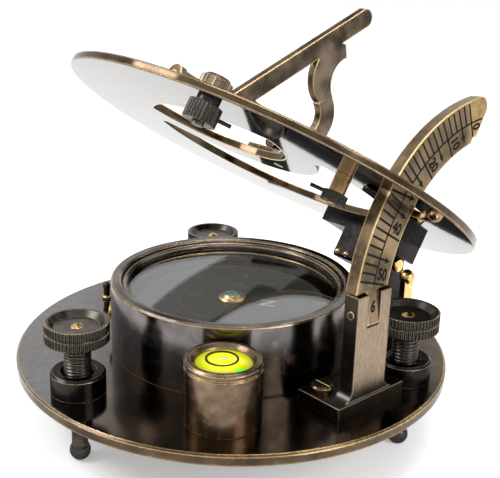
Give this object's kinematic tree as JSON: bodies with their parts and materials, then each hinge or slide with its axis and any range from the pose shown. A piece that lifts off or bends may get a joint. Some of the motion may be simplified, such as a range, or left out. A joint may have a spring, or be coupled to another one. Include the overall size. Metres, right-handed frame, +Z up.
{
  "type": "sundial compass",
  "caption": "Inclining sundial over a compass: round base on levelling screws, boxed compass card, round bubble level, hinged dial plate with folding gnomon and graduated latitude arc.",
  "frame": {"origin": "on the table under the middle of the round base, at the middle of the circle through the three feet", "axes": "+X to the dial's east, where the latitude arc stands; +Y to its north, where the hinge is; +Z up"},
  "size_m": [0.125, 0.1289, 0.1147],
  "materials": {
    "aged_bronze": "polished dark patina, worn bright at the edges",
    "worn_brass": "brushed and rubbed, engraving filled black",
    "bright_brass": "bare, lightly tarnished",
    "black_metal": "chemically blackened",
    "steel": "turned",
    "cover_glass": "clear",
    "card_print": "black with white print",
    "jewel": "polished",
    "vial": "clear, filled with tinted liquid"
  },
  "bodies": {
    "frame": {"base_plate": "aged_bronze", "boss_south": "black_metal", "boss_northeast": "black_metal", "boss_northwest": "black_metal", "compass_box": "aged_bronze", "box_screws": "steel", "bezel_ring": "aged_bronze", "compass_glass": "cover_glass", "pivot_pin": "steel", "lock_screw": "bright_brass", "level_housing": "aged_bronze", "level_screw": "steel", "level_vial": "vial", "arc_post": "worn_brass", "post_screws": "bright_brass", "latitude_arc": "worn_brass", "arc_pin": "bright_brass", "hinge_bracket": "black_metal", "bracket_screws": "bright_brass", "hinge_pin": "bright_brass", "hinge_keeper": "bright_brass", "keeper_rivet": "bright_brass", "west_stud": "bright_brass"},
    "dial": {"dial_plate": "aged_bronze", "hinge_leaf": "black_metal", "leaf_screws": "bright_brass", "leaf_rivets": "bright_brass", "rim_screw": "worn_brass", "inner_screw": "worn_brass", "inner_collar": "bright_brass", "lug_south": "worn_brass", "lug_north": "worn_brass", "lug_rivets": "bright_brass", "gnomon_pins": "bright_brass"},
    "gnomon": {"gnomon": "worn_brass"},
    "card": {"compass_card": "card_print", "card_cap": "bright_brass", "card_jewel": "jewel", "card_magnet": "steel"},
    "rim_nut": {"rim_nut": "black_metal"},
    "inner_nut": {"inner_nut": "black_metal"},
    "foot_south": {"spindle_south": "black_metal"},
    "head_south": {"knob_south": "black_metal"},
    "foot_northeast": {"spindle_northeast": "black_metal"},
    "head_northeast": {"knob_northeast": "black_metal"},
    "foot_northwest": {"spindle_northwest": "black_metal"},
    "head_northwest": {"knob_northwest": "black_metal"}
  },
  "joints": [
    {"name": "dial_tilt", "type": "hinge", "parent": "frame", "child": "dial", "pos_m": [0, 0.052, 0.038], "axis": [-1, 0, 0], "range_deg": [-32.5, 32]},
    {"name": "gnomon_fold", "type": "hinge", "parent": "dial", "child": "gnomon", "pos_m": [0, 0.01599, 0.07825], "axis": [0, -0.8434, 0.5373], "range_deg": [0, 90]},
    {"name": "card_spin", "type": "hinge", "parent": "frame", "child": "card", "pos_m": [0, 0, 0.0329], "axis": [0, 0, 1], "continuous": true},
    {"name": "rim_nut_turn", "type": "hinge", "parent": "dial", "child": "rim_nut", "pos_m": [0.025, -0.03319, 0.09784], "axis": [0, 0.5373, 0.8434], "range_deg": [-60, 60]},
    {"name": "inner_nut_turn", "type": "hinge", "parent": "dial", "child": "inner_nut", "pos_m": [0.0388, -0.00164, 0.07478], "axis": [0, 0.5373, 0.8434], "range_deg": [-15, 60]},
    {"name": "level_south", "type": "slide", "parent": "frame", "child": "foot_south", "axis": [0, 0, 1], "range_m": [-0.003, 0.003]},
    {"name": "turn_south", "type": "hinge", "parent": "foot_south", "child": "head_south", "pos_m": [-0.0027, -0.05153, 0.038], "axis": [0, 0, 1], "range_deg": [-1080, 1080]},
    {"name": "level_northeast", "type": "slide", "parent": "frame", "child": "foot_northeast", "axis": [0, 0, 1], "range_m": [-0.003, 0.003]},
    {"name": "turn_northeast", "type": "hinge", "parent": "foot_northeast", "child": "head_northeast", "pos_m": [0.04638, 0.02262, 0.038], "axis": [0, 0, 1], "range_deg": [-1080, 1080]},
    {"name": "level_northwest", "type": "slide", "parent": "frame", "child": "foot_northwest", "axis": [0, 0, 1], "range_m": [-0.003, 0.003]},
    {"name": "turn_northwest", "type": "hinge", "parent": "foot_northwest", "child": "head_northwest", "pos_m": [-0.04278, 0.02885, 0.038], "axis": [0, 0, 1], "range_deg": [-1080, 1080]}
  ],
  "couplings": [
    {"joint": "turn_south", "follows": "level_south", "rad_per_m": 6283.2},
    {"joint": "turn_northeast", "follows": "level_northeast", "rad_per_m": 6283.2},
    {"joint": "turn_northwest", "follows": "level_northwest", "rad_per_m": 6283.2}
  ]
}
